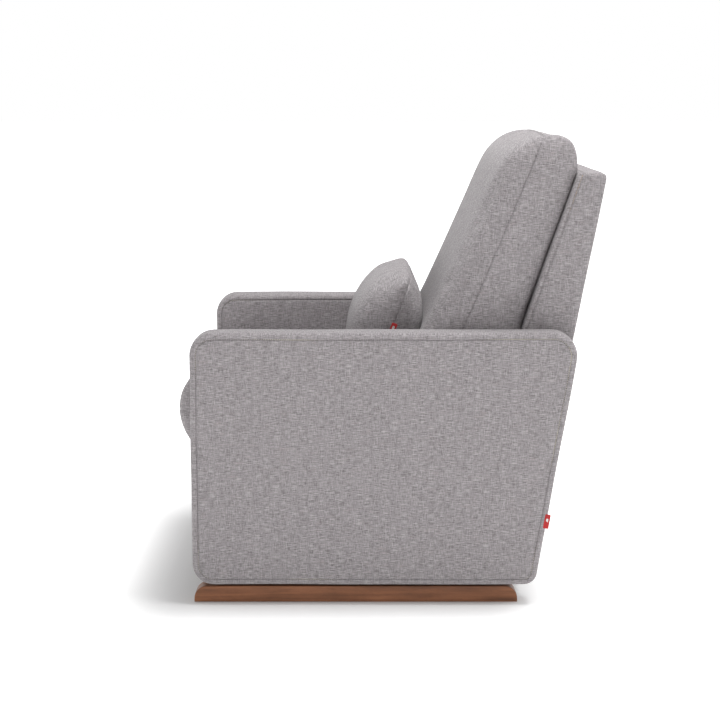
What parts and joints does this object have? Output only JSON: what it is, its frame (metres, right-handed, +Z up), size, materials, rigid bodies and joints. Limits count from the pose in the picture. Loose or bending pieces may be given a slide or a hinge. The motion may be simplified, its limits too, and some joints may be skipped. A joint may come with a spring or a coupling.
{
  "type": "glider nursery chair",
  "caption": "Upholstered glider armchair with slab arms, thick seat and back cushions and a lumbar pillow, gliding level on hanging swing links over low walnut floor rails.",
  "frame": {"origin": "on the floor under the middle of the whole chair", "axes": "+Z up; the chair faces -Y; +X is the sitter's left"},
  "size_m": [0.79, 0.9405, 1.031],
  "materials": {
    "upholstery_fabric": "mid grey melange linen weave, matt",
    "walnut": "walnut with a low satin lacquer",
    "frame_plywood": "raw birch plywood",
    "hardboard": "raw brown hardboard",
    "frame_timber": "raw pine",
    "foam": "cream upholstery foam and fibre fill",
    "black_steel": "black powder coat",
    "zinc_fasteners": "zinc plated",
    "bearing_steel": "ground bearing steel",
    "bumper_rubber": "matt black rubber",
    "pad_nylon": "dark moulded nylon",
    "spring_wire": "oil tempered wire",
    "deck_cloth": "black non-woven cloth",
    "webbing": "dark elastic webbing",
    "red_tab": "red woven tape"
  },
  "bodies": {
    "base": {"base_rail_left": "walnut", "base_rail_right": "walnut", "cross_tube_front": "black_steel", "cross_tube_rear": "black_steel", "floor_pads": "pad_nylon", "rail_screws": "zinc_fasteners", "upright_bolts": "zinc_fasteners", "link_stop_bumpers": "bumper_rubber", "upper_pivot_bolts": "zinc_fasteners", "upper_pivot_nuts": "zinc_fasteners", "pivot_upright_front_left": "black_steel", "pivot_upright_front_right": "black_steel", "pivot_upright_rear_left": "black_steel", "pivot_upright_rear_right": "black_steel"},
    "front_swing_links": {"swing_link_front_left": "black_steel", "swing_link_front_right": "black_steel", "front_link_bearings": "bearing_steel"},
    "rear_swing_links": {"swing_link_rear_left": "black_steel", "swing_link_rear_right": "black_steel", "rear_link_bearings": "bearing_steel"},
    "chair_body": {"arm_bolts": "zinc_fasteners", "arm_cover_left": "upholstery_fabric", "arm_cover_right": "upholstery_fabric", "arm_inner_panel_left": "frame_plywood", "arm_inner_panel_right": "frame_plywood", "arm_outer_panel_left": "hardboard", "arm_outer_panel_right": "hardboard", "arm_padding_left": "foam", "arm_padding_right": "foam", "arm_strips_left": "frame_timber", "arm_strips_right": "frame_timber", "arm_tab": "red_tab", "back_bottom_rail": "frame_timber", "back_cushion_core": "foam", "back_cushion_cover": "upholstery_fabric", "back_middle_rail": "frame_timber", "back_post_left": "frame_timber", "back_post_right": "frame_timber", "back_top_rail": "frame_timber", "back_webbing": "webbing", "front_apron": "upholstery_fabric", "hanger_bolts": "zinc_fasteners", "hanger_rail_left": "black_steel", "hanger_rail_right": "black_steel", "lower_pivot_bolts": "zinc_fasteners", "lower_pivot_nuts": "zinc_fasteners", "outer_back_cover": "upholstery_fabric", "seat_corner_blocks": "frame_timber", "seat_cushion_core": "foam", "seat_cushion_cover": "upholstery_fabric", "seat_deck_cloth": "deck_cloth", "seat_front_board": "frame_plywood", "seat_rear_board": "frame_plywood", "seat_side_board_left": "frame_plywood", "seat_side_board_right": "frame_plywood", "seat_spring_clips": "pad_nylon", "seat_springs": "spring_wire"},
    "lumbar_pillow": {"pillow_cover": "upholstery_fabric", "pillow_fill": "foam", "pillow_tab": "red_tab"}
  },
  "joints": [
    {"name": "glide", "type": "hinge", "parent": "base", "child": "front_swing_links", "pos_m": [0, -0.24129, 0.255], "axis": [1, 0, 0], "range_deg": [-25, 25]},
    {"name": "chair_level", "type": "hinge", "parent": "front_swing_links", "child": "chair_body", "pos_m": [0, -0.24129, 0.105], "axis": [1, 0, 0], "range_deg": [-25, 25]},
    {"name": "rear_link_swing", "type": "hinge", "parent": "base", "child": "rear_swing_links", "pos_m": [0, 0.01871, 0.255], "axis": [1, 0, 0], "range_deg": [-25, 25]},
    {"name": "pillow_lift", "type": "slide", "parent": "chair_body", "child": "lumbar_pillow", "axis": [0, 0, 1], "range_m": [0, 0.2]}
  ],
  "couplings": [
    {"joint": "chair_level", "follows": "glide", "ratio": -1},
    {"joint": "rear_link_swing", "follows": "glide", "ratio": 1}
  ]
}
